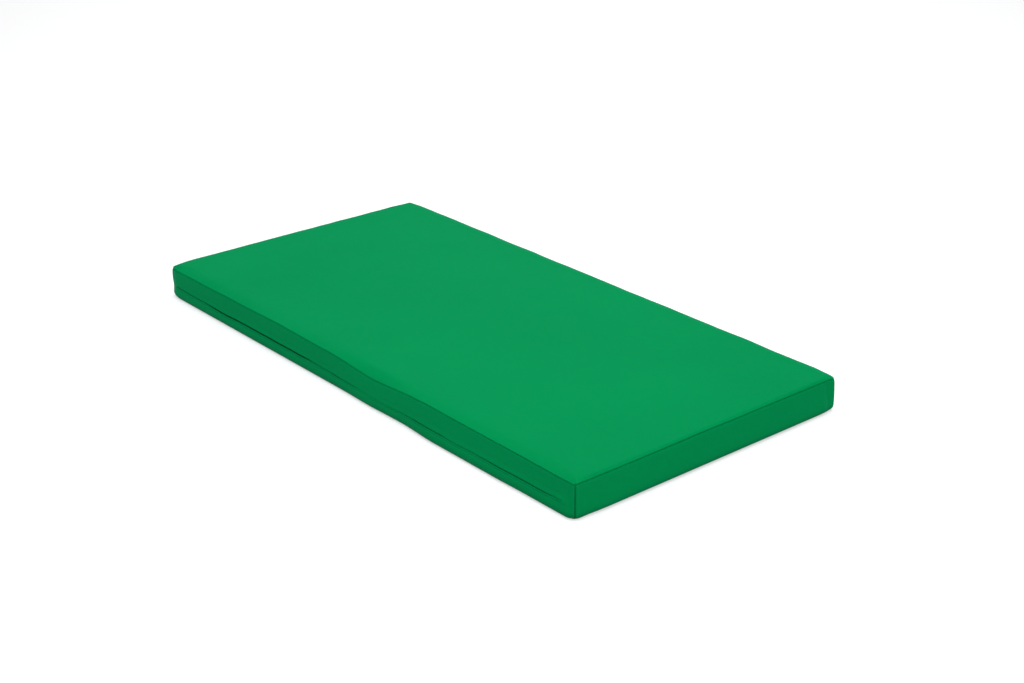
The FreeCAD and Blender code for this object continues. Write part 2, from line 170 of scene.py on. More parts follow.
class Nodes:
    """A material's node tree with short ways to add and join nodes."""

    def __init__(self, name):
        self.material = bpy.data.materials.new(name)
        self.material.use_nodes = True
        self.tree = self.material.node_tree
        self.shader = self.tree.nodes["Principled BSDF"]
        self.place = self.add("ShaderNodeTexCoord").outputs["Object"]

    def add(self, kind, **settings):
        node = self.tree.nodes.new(kind)
        for name, value in settings.items():
            if hasattr(node, name):
                setattr(node, name, value)
            else:
                self.feed(node.inputs[name.replace("_", " ").title()], value)
        return node

    def feed(self, socket, value):
        """Link an output to a socket, or set the socket's own value."""
        if isinstance(value, bpy.types.NodeSocket):
            self.tree.links.new(value, socket)
        else:
            socket.default_value = value

    def stretched(self, scale):
        mapping = self.add("ShaderNodeMapping")
        self.feed(mapping.inputs["Vector"], self.place)
        self.feed(mapping.inputs["Scale"], scale)
        return mapping.outputs["Vector"]

    def noise(self, scale, detail=2.0, roughness=0.5, vector=None):
        node = self.add("ShaderNodeTexNoise")
        self.feed(node.inputs["Vector"], vector or self.place)
        self.feed(node.inputs["Scale"], scale)
        self.feed(node.inputs["Detail"], detail)
        self.feed(node.inputs["Roughness"], roughness)
        return node.outputs["Fac"]

    def cells(self, scale):
        node = self.add("ShaderNodeTexVoronoi", feature="DISTANCE_TO_EDGE")
        self.feed(node.inputs["Vector"], self.place)
        self.feed(node.inputs["Scale"], scale)
        return node.outputs["Distance"]

    def threads(self, direction, period):
        """Fine parallel ridges, as the yarns of a scrim or a tape print through."""
        node = self.add("ShaderNodeTexWave", wave_type="BANDS", bands_direction=direction)
        self.feed(node.inputs["Vector"], self.place)
        # A wave of scale 1 repeats every pi / 10.
        self.feed(node.inputs["Scale"], math.pi / (10 * period))
        return node.outputs["Fac"]

    def math(self, operation, first, second):
        node = self.add("ShaderNodeMath", operation=operation)
        self.feed(node.inputs[0], first)
        self.feed(node.inputs[1], second)
        return node.outputs["Value"]

    def ramp(self, value, stops):
        node = self.add("ShaderNodeValToRGB")
        self.feed(node.inputs["Fac"], value)
        elements = node.color_ramp.elements
        while len(elements) < len(stops):
            elements.new(0.5)
        for element, (position, color) in zip(elements, stops):
            element.position = position
            element.color = (*color, 1.0)
        return node.outputs["Color"]

    def spread(self, value, low, high):
        """Map a 0 to 1 value to low to high."""
        node = self.add("ShaderNodeMapRange")
        self.feed(node.inputs["Value"], value)
        self.feed(node.inputs["To Min"], low)
        self.feed(node.inputs["To Max"], high)
        return node.outputs["Result"]

    def painted_foot_shade(self, color, reach, darkest):
        """The colour, darkened towards the floor over a reach above it: painted shade where the cloth turns
        under near the floor.
        """
        split = self.add("ShaderNodeSeparateXYZ")
        self.feed(split.inputs["Vector"], self.place)
        share = self.add("ShaderNodeMapRange", interpolation_type="SMOOTHSTEP")
        self.feed(share.inputs["Value"], split.outputs["Z"])
        self.feed(share.inputs["From Min"], 0.0)
        self.feed(share.inputs["From Max"], reach)
        self.feed(share.inputs["To Min"], darkest)
        self.feed(share.inputs["To Max"], 1.0)
        scaled = self.add("ShaderNodeVectorMath", operation="SCALE")
        self.feed(scaled.inputs[0], color)
        self.feed(scaled.inputs["Scale"], share.outputs["Result"])
        return scaled.outputs["Vector"]

    def bump(self, height, distance, strength=1.0, normal=None):
        node = self.add("ShaderNodeBump")
        self.feed(node.inputs["Height"], height)
        self.feed(node.inputs["Distance"], distance)
        self.feed(node.inputs["Strength"], strength)
        if normal is not None:
            self.feed(node.inputs["Normal"], normal)
        return node.outputs["Normal"]


COVER_GREEN = (0.0002, 0.175, 0.047)
# Painted shade at the foot: the cloth's colour darkens over this reach above the floor, down to this share
# of itself.
FOOT_SHADE_REACH = 24 * MM
FOOT_SHADE_DARKEST = 0.58
SCRIM_PERIOD = 1.1 * MM


def shade(color, factor):
    return tuple(channel * factor for channel in color)


def coated_cloth(name):
    """PVC-coated polyester: an even satin film with a fine grain over the print of its scrim."""
    nodes = Nodes(name)
    broad = nodes.math("MULTIPLY", nodes.noise(2.2, 3.0), 0.6)
    fine = nodes.math("MULTIPLY", nodes.noise(60.0, 4.0, 0.6), 0.4)
    mottle = nodes.math("ADD", broad, fine)
    color = nodes.ramp(
        mottle,
        [(0.3, shade(COVER_GREEN, 0.95)), (0.5, COVER_GREEN), (0.7, shade(COVER_GREEN, 1.05))],
    )
    # The base colour carries painted shade, darker towards the floor.
    nodes.feed(nodes.shader.inputs["Base Color"], nodes.painted_foot_shade(color, FOOT_SHADE_REACH, FOOT_SHADE_DARKEST))
    nodes.feed(nodes.shader.inputs["Roughness"], nodes.spread(nodes.noise(14.0, 4.0), 0.38, 0.52))
    nodes.shader.inputs["Specular IOR Level"].default_value = 0.003
    nodes.shader.inputs["Sheen Weight"].default_value = 0.08
    nodes.shader.inputs["Sheen Roughness"].default_value = 0.4
    nodes.shader.inputs["Sheen Tint"].default_value = (0.0, 0.7, 0.9, 1.0)
    scrim = nodes.math("ADD", nodes.threads("X", SCRIM_PERIOD), nodes.threads("Y", SCRIM_PERIOD))
    scrim = nodes.math("ADD", scrim, nodes.threads("Z", SCRIM_PERIOD))
    weave = nodes.bump(scrim, 0.012 * MM)
    grain = nodes.bump(nodes.cells(900.0), 0.05 * MM, normal=weave)
    dents = nodes.bump(nodes.noise(9.0, 3.0), 0.5 * MM, normal=grain)
    nodes.feed(nodes.shader.inputs["Normal"], dents)
    return nodes.material


def woven_tape(name, color):
    nodes = Nodes(name)
    ribs = nodes.math("MULTIPLY", nodes.threads("X", 0.9 * MM), nodes.threads("Z", 0.6 * MM))
    tint = nodes.ramp(ribs, [(0.0, shade(color, 0.7)), (1.0, shade(color, 1.2))])
    nodes.feed(nodes.shader.inputs["Base Color"], tint)
    nodes.feed(nodes.shader.inputs["Roughness"], nodes.spread(nodes.noise(300.0), 0.75, 0.9))
    nodes.feed(nodes.shader.inputs["Normal"], nodes.bump(ribs, 0.15 * MM))
    return nodes.material


def spun_thread(name, color):
    nodes = Nodes(name)
    fibres = nodes.noise(1500.0, 3.0, 0.6, nodes.stretched((1.0, 4.0, 4.0)))
    tint = nodes.ramp(fibres, [(0.35, shade(color, 0.75)), (0.65, shade(color, 1.2))])
    nodes.feed(nodes.shader.inputs["Base Color"], tint)
    nodes.feed(nodes.shader.inputs["Roughness"], nodes.spread(fibres, 0.45, 0.65))
    nodes.shader.inputs["Specular IOR Level"].default_value = 0.1
    nodes.feed(nodes.shader.inputs["Normal"], nodes.bump(fibres, 0.1 * MM))
    return nodes.material


def open_foam(name, color):
    """Cut polyurethane foam: open cells and a slight patchy yellowing."""
    nodes = Nodes(name)
    cells = nodes.cells(500.0)
    patches = nodes.noise(4.0, 3.0)
    tint = nodes.ramp(patches, [(0.3, shade(color, 0.9)), (0.7, shade(color, 1.08))])
    nodes.feed(nodes.shader.inputs["Base Color"], tint)
    nodes.feed(nodes.shader.inputs["Roughness"], nodes.spread(cells, 0.85, 1.0))
    nodes.feed(nodes.shader.inputs["Normal"], nodes.bump(cells, 0.8 * MM))
    return nodes.material


def coil_plastic(name, color):
    nodes = Nodes(name)
    streaks = nodes.noise(700.0, 2.0)
    tint = nodes.ramp(streaks, [(0.3, shade(color, 0.85)), (0.7, shade(color, 1.15))])
    nodes.feed(nodes.shader.inputs["Base Color"], tint)
    nodes.feed(nodes.shader.inputs["Roughness"], nodes.spread(streaks, 0.28, 0.42))
    nodes.feed(nodes.shader.inputs["Normal"], nodes.bump(streaks, 0.03 * MM))
    return nodes.material


def painted_zinc(name, color):
    """Lacquered die-cast zinc, with the lacquer rubbed through in specks."""
    nodes = Nodes(name)
    rub = nodes.noise(900.0, 5.0, 0.7)
    bare = nodes.ramp(rub, [(0.66, (0.0, 0.0, 0.0)), (0.72, (1.0, 1.0, 1.0))])
    tint = nodes.ramp(rub, [(0.3, color), (0.66, shade(color, 1.15)), (0.72, (0.55, 0.55, 0.53))])
    nodes.feed(nodes.shader.inputs["Base Color"], tint)
    nodes.feed(nodes.shader.inputs["Metallic"], bare)
    nodes.feed(nodes.shader.inputs["Roughness"], nodes.spread(nodes.noise(250.0, 3.0), 0.25, 0.4))
    nodes.feed(nodes.shader.inputs["Normal"], nodes.bump(rub, 0.02 * MM))
    nodes.shader.inputs["Coat Weight"].default_value = 0.4
    return nodes.material


COVER = coated_cloth("cover_cloth")
THREAD = spun_thread("cover_thread", (0.001, 0.14, 0.045))
TAPE = woven_tape("zip_tape_weave", (0.001, 0.12, 0.042))
COIL = coil_plastic("zip_coil_plastic", (0.002, 0.11, 0.04))
METAL = painted_zinc("zip_lacquer", (0.004, 0.14, 0.05))
SOFT_FOAM = open_foam("soft_foam", (0.62, 0.6, 0.5))
FIRM_FOAM = open_foam("firm_foam", (0.2, 0.24, 0.3))

# ---------------------------------------------------------------- meshes


def keep_cut_edges_crisp(mesh):
    """Mark the edges that only one face has as sharp."""
    of_loops = np.empty(len(mesh.loops), dtype=np.int32)
    mesh.loops.foreach_get("edge_index", of_loops)
    single = np.bincount(of_loops, minlength=len(mesh.edges)) == 1
    sharp = mesh.attributes.new("sharp_edge", "BOOLEAN", "EDGE")
    sharp.data.foreach_set("value", single)


def new_piece(name, points, faces, material, slot, body=CORE, thickness=0.0):
    """A smooth mesh piece, given a thickness inward from its outer face."""
    mesh = bpy.data.meshes.new(name)
    mesh.from_pydata(np.asarray(points, float).tolist(), [], [tuple(face) for face in faces])
    mesh.update()
    mesh.polygons.foreach_set("use_smooth", [True] * len(mesh.polygons))
    mesh.materials.append(material)
    piece = bpy.data.objects.new(name, mesh)
    bpy.context.scene.collection.objects.link(piece)
    if thickness:
        keep_cut_edges_crisp(mesh)
        solid = piece.modifiers.new("thickness", "SOLIDIFY")
        solid.thickness = thickness
        solid.offset = -1.0
    if body:
        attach(piece, body)
    return piece


def grid_faces(rows, columns, closed=False, start=0):
    """Quads of a grid of points; with columns to the right and rows upward they face the viewer."""
    first = np.arange(rows - 1)[:, None] * columns
    here = np.arange(columns if closed else columns - 1)[None, :]
    after = (here + 1) % columns
    faces = np.stack([first + here, first + after, first + columns + after, first + columns + here], -1)
    return (faces.reshape(-1, 4) + start).tolist()


def grid_piece(name, grid, *look, **settings):
    """A piece from a grid of points (rows, columns, 3)."""
    rows, columns = grid.shape[:2]
    return new_piece(name, grid.reshape(-1, 3), grid_faces(rows, columns), *look, **settings)


def ripple(points, length, seed):
    """Smooth noise, mostly within -0.5 and 0.5, at each point; length is a ripple's length in metres."""
    shift = Vector((seed * 7.13, seed * 3.71, seed * 5.37))
    rows = np.asarray(points, float).reshape(-1, 3)
    return np.array([noise.noise(Vector(row) / length + shift) for row in rows])


def hill(value, middle, width):
    """A smooth bump of height 1."""
    return np.exp(-(((np.asarray(value) - middle) / width) ** 2))


def step_up(value, low, high):
    """0 below low, 1 above high, smooth between them."""
    share = np.clip((np.asarray(value) - low) / (high - low), 0, 1)
    return share * share * (3 - 2 * share)


def within(value, low, high, soft):
    """1 between low and high, falling to 0 over a soft distance on each side."""
    return step_up(value, low - soft, low + soft) * (1 - step_up(value, high - soft, high + soft))


def smooth_path(points, rounds=1):
    """Cut the corners of a path of points along the first axis, keeping its ends."""
    for _ in range(rounds):
        cut = np.empty((2 * len(points), *points.shape[1:]))
        cut[0], cut[-1] = points[0], points[-1]
        cut[1:-1:2] = 0.75 * points[:-1] + 0.25 * points[1:]
        cut[2:-1:2] = 0.25 * points[:-1] + 0.75 * points[1:]
        points = cut
    return points


# ---------------------------------------------------------------- the line round the mat


def spaced(low, high):
    """Places from low to high, close together near both."""
    half = (high - low) / 2
    steps = [FINE_STEP]
    while steps[-1] < COARSE_STEP and sum(steps) < 0.6 * half:
        steps.append(min(steps[-1] * STEP_GROWTH, COARSE_STEP))
    near = np.concatenate([[0.0], np.cumsum(steps)])
    count = max(1, round(2 * (half - near[-1]) / steps[-1]))
    middle = np.linspace(low + near[-1], high - near[-1], count + 1)
    return np.concatenate([low + near[:-1], middle, high - near[:-1][::-1]])


ACROSS = np.concatenate(
    [
        spaced(-HALF_LENGTH, -FLAP_HALF),
        spaced(-FLAP_HALF, FLAP_HALF)[1:-1],
        spaced(FLAP_HALF, HALF_LENGTH),
    ]
)
DEEP = spaced(-HALF_WIDTH, HALF_WIDTH)
# The loop runs anticlockwise from above: the zip side, the right end, the back and the left end.
SIDES = (
    (ACROSS, HALF_LENGTH, (-1, -1), (1, 0), RADIUS_B, RADIUS_A),
    (DEEP, HALF_WIDTH, (1, -1), (0, 1), RADIUS_A, RADIUS_D),
    (ACROSS, HALF_LENGTH, (1, 1), (-1, 0), RADIUS_D, RADIUS_C),
    (DEEP, HALF_WIDTH, (-1, 1), (0, -1), RADIUS_C, RADIUS_B),
)
LAST_X, LAST_Y = len(ACROSS) - 1, len(DEEP) - 1
LOOP = 2 * (LAST_X + LAST_Y)
CORNER_A = LAST_X  # the zip side's right end; corner B, its left end, is point 0
CORNER_D = CORNER_A + LAST_Y
CORNER_C = CORNER_D + LAST_X
INDEX = np.arange(LOOP)
NONE = np.zeros(LOOP)


def loop_at(inset):
    """The (x, y) of each point of the loop at an inset, one number or one for each point."""
    inset = np.broadcast_to(np.asarray(inset, float), (LOOP,))
    sizes = np.array((HALF_LENGTH, HALF_WIDTH))
    found, start = [], 0
    for places, half, corner, way, first_radius, last_radius in SIDES:
        share = (places[:-1] + half) / (2 * half)
        mine = inset[start : start + len(share)]
        start += len(share)
        way = np.array(way, float)
        out = np.array((way[1], -way[0]))
        long = 2 * (half - mine)
        run = share * long
        origin = np.array(corner) * (sizes - mine[:, None])
        place = origin + run[:, None] * way
        for radius, side, distance in ((first_radius, -1, run), (last_radius, 1, long - run)):
            radius = np.maximum(radius - mine, 1e-6)
            angle = math.pi / 4 * (1 - distance / radius)
            edge = radius if side < 0 else long - radius
            centre = origin + edge[:, None] * way - radius[:, None] * out
            lean = np.cos(angle)[:, None] * out + side * np.sin(angle)[:, None] * way
            place = np.where((distance < radius)[:, None], centre + radius[:, None] * lean, place)
        found.append(place)
    return np.concatenate(found)


RIM = loop_at(0.0)
RIM_POINTS = np.column_stack([RIM, NONE])
RIM_STEPS = np.linalg.norm(np.roll(RIM, -1, axis=0) - RIM, axis=1)
ON_FRONT = INDEX < CORNER_A
ON_RIGHT = (INDEX >= CORNER_A) & (INDEX < CORNER_D)
ON_BACK = (INDEX >= CORNER_D) & (INDEX < CORNER_C)
ON_LEFT = INDEX >= CORNER_C
X, Y = RIM.T


def distance_to(index):
    """Distance along the rim from a point of the loop, for every point."""
    along = np.concatenate([[0.0], np.cumsum(RIM_STEPS)[:-1]])
    apart = np.abs(along - along[index])
    return np.minimum(apart, RIM_STEPS.sum() - apart)


TO_A, TO_B, TO_C, TO_D = (distance_to(index) for index in (CORNER_A, 0, CORNER_C, CORNER_D))

NEAR_B = hill(TO_B, 0, 0.03)
NEAR_D = hill(TO_D, 0, 0.03)
ROUND_B = hill(TO_B, 0, 0.05)

# ---------------------------------------------------------------- the shape of the sides

# Height of the top seam: it wanders a little, and along the zip side it dips where the cover is pulled down.
FRONT_RISE = 3.6 * hill(X, -0.35, 0.15) - 7.5 * hill(X, 0.13, 0.1) + 1.3 * hill(X, 0.4, 0.06)
FRONT_RISE -= 3.2 * within(X, -0.03, 0.27, 0.06)
FRONT_RISE -= 2.6 * step_up(-X, 0.62, 0.74) + 2.4 * step_up(X, 0.78, 0.92)
OTHER_RISE = (0.2 * ON_RIGHT + 0.4 * ON_BACK - 0.8 * ON_LEFT) * (1 - NEAR_B) * (1 - NEAR_D)
BACK_RISE = 2.6 * ON_BACK * hill(X, 0.66, 0.07)
CORNER_DIP = 2.5 * hill(TO_B, 0, 0.012) + 3.5 * hill(TO_D, 0, 0.012)
WANDER = 1.6 * ripple(RIM_POINTS, 0.16, 1) + 0.7 * ripple(RIM_POINTS, 0.045, 2) - 0.2
SEAM_Z = HEIGHT + MM * (WANDER + ON_FRONT * FRONT_RISE + OTHER_RISE + BACK_RISE - CORNER_DIP)

# Width of the top panel's rolled edge: broad along the zip side, tight along the right end.
ROLL = 22 + 6 * ripple(RIM_POINTS, 0.3, 3)
ROLL += 16 * ON_FRONT * within(X, -0.97, 0.97, 0.03)
ROLL -= 10 * ON_RIGHT * within(Y, -0.47, 0.47, 0.03)
ROLL *= MM

# How far a side stands proud at mid height, with a soft upright fold each side of the back's corners.
BELLY = 2.6 + 1.6 * ripple(RIM_POINTS, 0.22, 4) + 0.6 * ripple(RIM_POINTS, 0.06, 5)
BELLY *= 1 - 0.45 * hill(TO_A, 0, 0.03) - 0.45 * NEAR_B
BELLY += 2.0 * ON_RIGHT * within(Y, -0.44, 0.38, 0.06)
BELLY -= 3.4 * (hill(TO_D, 0.032, 0.012) + hill(TO_C, 0.034, 0.010))
BELLY += 2.2 * ON_RIGHT * hill(TO_D, 0.060, 0.013)
BELLY *= MM

# How far a side stands proud over its whole height.
SWELL = 5 * ON_BACK * within(X, -0.95, 0.95, 0.04)
SWELL += 4 * ON_LEFT * within(Y, -0.44, 0.45, 0.03)
SWELL += 2 * NEAR_D - 5 * NEAR_B
SWELL *= MM

# How far a side's foot stands proud.
FRONT_FOOT = 5.4 + 3.0 * hill(X, 0.12, 0.08) + 8.0 * step_up(X, 0.27, 0.43) - 1.8 * step_up(X, 0.7, 0.8)
RIGHT_FOOT = 8.2 - 3.0 * hill(TO_A, 0.03, 0.05)
FOOT = ON_FRONT * FRONT_FOOT + ON_RIGHT * RIGHT_FOOT + (ON_BACK | ON_LEFT) * 5.0
FOOT *= 1 - 0.7 * hill(TO_A, 0, np.where(ON_FRONT, 0.018, 0.009))
FOOT *= MM * (1 - NEAR_B) * (1 - 0.8 * NEAR_D)

# The upright seams pull in to a crease, and a waist runs along the zip's level.
UPRIGHT = 3.4 * MM * (hill(TO_A, 0, 1.5 * MM) + hill(TO_B, 0, 1.5 * MM))
WAIST = (0.5 * ON_FRONT + 1.8 * ROUND_B) * MM
WAIST_Z = (46 - 9 * ROUND_B) * MM
WAIST_WIDTH = (13 + 7 * ROUND_B) * MM
# Beside the right upright seam the cloth stands up in a soft ridge with a dimple beyond it.
PUCKER = (1.5 * hill(TO_A, 6 * MM, 3.5 * MM) - 1.1 * hill(TO_A, 15 * MM, 6 * MM)) * MM
# The slider and the stop push the flap's right end out.
SLIDER_BULGE = 3.4 * MM * ON_FRONT * hill(X, FLAP_HALF - 0.006, 0.02)
SLIDER_LEVEL = 46 * MM
SLIDER_REACH = 7 * MM
# How deep the top and bottom seams lie.
TOP_CREASE = 2.6 * MM + 0.6 * UPRIGHT - SWELL
BOTTOM_CREASE = 10 * MM - SWELL - FOOT


def fullness(height):
    """How much of a side's belly shows at a height, 0 at the floor and the top seam and 1 between them."""
    share = np.clip(height / SEAM_Z, 0, 1)
    return (1 - np.abs(2 * share - 1) ** 2.6) ** 0.8


def side_inset(height):
    """Inset of a side's outer face at a height."""
    foot = FOOT * (1 - step_up(height, 12 * MM, 85 * MM))
    relief = BELLY * fullness(height) + PUCKER - WAIST * hill(height, WAIST_Z, WAIST_WIDTH)
    bulge = SLIDER_BULGE * hill(height, SLIDER_LEVEL, SLIDER_REACH)
    return UPRIGHT - SWELL - foot - relief - bulge


def top_height(x, y):
    """Height of the top panel away from its edges: a low crown, faint hollows and a fuller front."""
    crown = (1 - (x / HALF_LENGTH) ** 4) * (1 - (y / HALF_WIDTH) ** 4)
    points = np.column_stack([np.ravel(x), np.ravel(y), np.zeros(np.size(x))])
    waves = (0.9 * ripple(points, 0.35, 6) + 0.4 * ripple(points, 0.11, 7)).reshape(np.shape(x))
    puff = 1.8 * hill(y, 0.055 - HALF_WIDTH, 0.05)
    return HEIGHT + (7.2 + 1.3 * crown + puff + waves) * MM


def floor_height(x, y):
    return np.zeros(np.shape(x))


def ring(inset, height):
    """The loop's points at an inset and a height."""
    height = np.broadcast_to(np.asarray(height, float), (LOOP,))
    return np.column_stack([loop_at(inset), height])


# ---------------------------------------------------------------- cover: top and bottom panels

CAP_INSET = 50 * MM  # where a panel's rings end and the grid over its flat begins


class Shell:
    """Rings of points round the mat, which grids of points over its flats can close."""

    def __init__(self, rings):
        self.points = list(rings)
        self.rings = len(rings)
        self.count = LOOP * len(rings)
        self.faces = grid_faces(len(rings), LOOP, closed=True)

    def cap(self, height, upward):
        """Close the last ring upward, or the first one downward."""
        x = ACROSS * (HALF_LENGTH - CAP_INSET) / HALF_LENGTH
        y = DEEP * (HALF_WIDTH - CAP_INSET) / HALF_WIDTH
        grid_x, grid_y = (part.ravel() for part in np.meshgrid(x, y))
        columns = len(x)
        border = np.concatenate(
            [
                np.arange(LAST_X),
                np.arange(LAST_Y) * columns + LAST_X,
                LAST_Y * columns + np.arange(LAST_X, 0, -1),
                np.arange(LAST_Y, 0, -1) * columns,
            ]
        )
        start = self.count
        ring_start = (self.rings - 1) * LOOP if upward else 0
        after = (INDEX + 1) % LOOP
        join = np.stack([ring_start + INDEX, ring_start + after, start + border[after], start + border], -1)
        faces = join.tolist() + grid_faces(len(y), columns, start=start)
        self.faces += faces if upward else [face[::-1] for face in faces]
        self.points.append(np.column_stack([grid_x, grid_y, height(grid_x, grid_y)]))
        self.count += len(grid_x)


def panel(name, rings, height, node, upward):
    """The top or bottom panel: rings from its turned edge inward, and a grid over its flat."""
    shell = Shell(rings)
    shell.cap(height, upward=True)
    faces = shell.faces if upward else [face[::-1] for face in shell.faces]
    piece = new_piece(name, np.concatenate(shell.points), faces, COVER, "cover_cloth", thickness=CLOTH)
    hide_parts(node)


def crown_rings(first, base, roll, drop=0.0):
    """Rings from an edge at an inset and a height, up over a rolled edge, to the flat of the top."""
    rings = []
    for share in (0.03, 0.08, 0.15, 0.24, 0.36, 0.5, 0.66, 0.82, 1.0):
        place = loop_at(first + share * (roll - first))
        rise = 1 - (1 - share) ** 1.8
        height = base + (top_height(*place.T) - drop - base) * rise
        rings.append(np.column_stack([place, height]))
    for share in (0.25, 0.6, 1.0):
        place = loop_at(roll + (CAP_INSET - 4 * MM - roll) * share)
        rings.append(np.column_stack([place, top_height(*place.T) - drop]))
    return rings


def top_panel():
    """The top, whose edge hangs over its seam in a small roll."""
    face = TOP_CREASE + 2 * LAYER_GAP
    skirt = ((0.2, -9.0), (0.2, -6.0), (0.1, -3.0), (0.0, -1.2))
    lip = ((-0.3, -0.5), (-1.0, 0.0), (-1.5, 0.6), (-1.6, 1.3), (-1.3, 2.0))
    rings = [ring(face + inward * MM, SEAM_Z + up * MM) for inward, up in skirt + lip]
    rings += crown_rings(face - 0.8 * MM, SEAM_Z + 2.6 * MM, ROLL)
    panel("cover_top", rings, top_height, "cover_top_panel", upward=True)


def bottom_panel():
    """The underside, whose edge turns up inside the bottom seam."""
    face = BOTTOM_CREASE + 2 * LAYER_GAP
    skirt = ((0.2, 9.0), (0.1, 4.0), (0.0, 2.2), (0.4, 1.1))
    sole = ((1.4, 0.4), (3.5, 0.1), (8.0, 0.0), (22.0, 0.0))
    rings = [ring(face + inward * MM, up * MM) for inward, up in skirt + sole]
    panel(
        "cover_bottom",
        rings,
        floor_height,
        "cover_bottom_panel",
        upward=False,
    )


# ---------------------------------------------------------------- cover: boxing


def foot_rows():
    """A side's rows from the bottom seam's turned edge, round the roll, to just above the floor."""
    face = UPRIGHT - SWELL - FOOT
    return [
        (BOTTOM_CREASE, ALLOWANCE + NONE),
        (BOTTOM_CREASE, 3.0 * MM + NONE),
        (BOTTOM_CREASE - 0.5 * MM, 0.9 * MM + NONE),
        (BOTTOM_CREASE - 2.2 * MM, 0.1 * MM + NONE),
        (6.0 * MM + face, 0.7 * MM + NONE),
        (3.7 * MM + face, 2.9 * MM + NONE),
        (1.8 * MM + face, 6.2 * MM + NONE),
    ]


def head_rows():
    """A side's rows over its top edge into the seam's crease, and down to the turned edge."""
    return [
        (-0.1 * MM + UPRIGHT - SWELL, SEAM_Z - 3.6 * MM),
        (0.3 * MM + 0.8 * UPRIGHT - SWELL, SEAM_Z - 2.0 * MM),
        (1.2 * MM + 0.6 * UPRIGHT - SWELL, SEAM_Z - 1.1 * MM),
        (TOP_CREASE - 0.4 * MM, SEAM_Z - 1.1 * MM),
        (TOP_CREASE, SEAM_Z - 2.0 * MM),
        (TOP_CREASE, SEAM_Z - 5 * MM),
        (TOP_CREASE, SEAM_Z - ALLOWANCE),
    ]


def grid_of(rows):
    """Rows of (inset, height) round the loop as a grid (rows, loop, 3)."""
    return np.stack([ring(inset, height) for inset, height in rows])


def with_turned_ends(strip, left=True, right=True):
    """A strip with an end or both turned inward, as the allowance of an upright seam."""
    columns = [strip]
    for wanted, end, near in ((left, 0, 1), (right, -1, -2)):
        if not wanted:
            continue
        corner = strip[:, end]
        inward = -np.sign(corner[:, :2]) * math.sqrt(0.5)
        along = corner[:, :2] - strip[:, near, :2]
        along /= np.maximum(np.linalg.norm(along, axis=1), 1e-9)[:, None]
        turned = []
        for depth in (1.0, 3.0, 7.0):
            column = corner.copy()
            column[:, :2] += depth * MM * inward - LAYER_GAP * along
            turned.append(column)
        block = np.stack(turned, axis=1)
        columns = [block[:, ::-1], *columns] if end == 0 else [*columns, block]
    return np.concatenate(columns, axis=1)


def wrap_boxing():
    """One strip of cloth from the right upright seam round the back to the left one."""
    face = [
        (side_inset(share * SEAM_Z), share * SEAM_Z)
        for share in (0.1, 0.17, 0.3, 0.45, 0.6, 0.74, 0.85, 0.92)
    ]
    grid = smooth_path(grid_of(foot_rows() + face + head_rows()))
    strip = with_turned_ends(grid[:, np.concatenate([np.arange(CORNER_A, LOOP), [0]])])
    piece = grid_piece("cover_boxing", strip, COVER, "cover_cloth", thickness=CLOTH)
    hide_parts("cover_wrap_boxing")


# ---------------------------------------------------------------- cover: zip side

FRONT = np.arange(CORNER_A + 1)
FADE = 1 - step_up(np.abs(X), FLAP_HALF - 11 * MM, FLAP_HALF)
# Height of the flap's free edge, which sags along the right half and curls up over the slider.
EDGE_Z = 44.2 - 2.4 * step_up(X, -0.2, 0.0) - 2.3 * hill(X, -0.66, 0.08) - 3.5 * hill(X, 0.21, 0.08)
EDGE_Z += 1.3 * step_up(-X, 0.82, 0.95) - 0.8 * hill(X, 0.52, 0.06) + 0.8 * hill(X, 0.78, 0.1)
EDGE_Z += 4.6 * step_up(X, 0.885, 0.953) + 0.8 * ripple(RIM_POINTS, 0.05, 8)
EDGE_Z *= MM
# Height of the dark opening under the edge, and how far the edge stands off.
USUAL_GAPE = 0.9
GAPE = USUAL_GAPE + 3.6 * within(X, -0.74, -0.17, 0.06) + 0.9 * step_up(-X, 0.7, 0.85)
GAPE += 0.8 * hill(X, -0.03, 0.05) - 0.85 * within(X, 0.07, 0.26, 0.03)
GAPE += 1.0 * within(X, 0.33, 0.47, 0.03) + 1.1 * within(X, 0.64, 0.9, 0.03)
GAPE *= FADE * MM
PROUD = (0.15 * MM + 0.45 * GAPE) * FADE
EDGE_Z += 0.7 * (GAPE - USUAL_GAPE * MM)
LOOK_DOWN = 0.67  # how far a downward look drops over a depth of one
LOWER_Z = EDGE_Z - GAPE - LOOK_DOWN * PROUD - 0.15 * MM
BEYOND = step_up(np.abs(X), FLAP_HALF + 0.1 * MM, FLAP_HALF + 1.5 * MM)
SHUT_Z = FLAP_LOW.z
HINGE_START = HINGE.z + 9 * MM
HINGE_END = HINGE.z - 9 * MM
FOLD = 2 * CLOTH + 0.06 * MM
HEM_Z = EDGE_Z + 15 * MM
END_LAP = 8 * MM  # how far the tapes run on behind the cloth past the flap's ends
TOPSTITCH_Z = LOWER_Z - 6 * MM


def flap_inset(height):
    """Inset of the zip side's face down to the flap's edge, which lips out, with the hem's stitches sunk."""
    lift = PROUD * (1 - step_up(height, EDGE_Z, HINGE_END))
    lip = 0.9 * MM * FADE * hill(height, EDGE_Z + 2 * MM, 4 * MM)
    stitching = 0.4 * MM * FADE * hill(height, HEM_Z, 1.6 * MM)
    return side_inset(height) - lift - lip + stitching


def lower_inset(height):
    """Inset of the lower strip's face, with its topstitching sunk between two soft ridges."""
    above = 1.2 * MM * hill(height, TOPSTITCH_Z + 4.5 * MM, 2.4 * MM)
    below = 0.7 * MM * hill(height, TOPSTITCH_Z - 5 * MM, 3 * MM)
    stitching = 0.9 * MM * hill(height, TOPSTITCH_Z, 1.5 * MM)
    return side_inset(height) + FADE * (stitching - above - below)


def upper_face_rows():
    """The zip side's rows from over the flap's hinge to just under the top seam."""
    return [
        (side_inset(share * SEAM_Z), share * SEAM_Z)
        for share in (0.68, 0.72, 0.76, 0.8, 0.86, 0.9, 0.93)
    ]


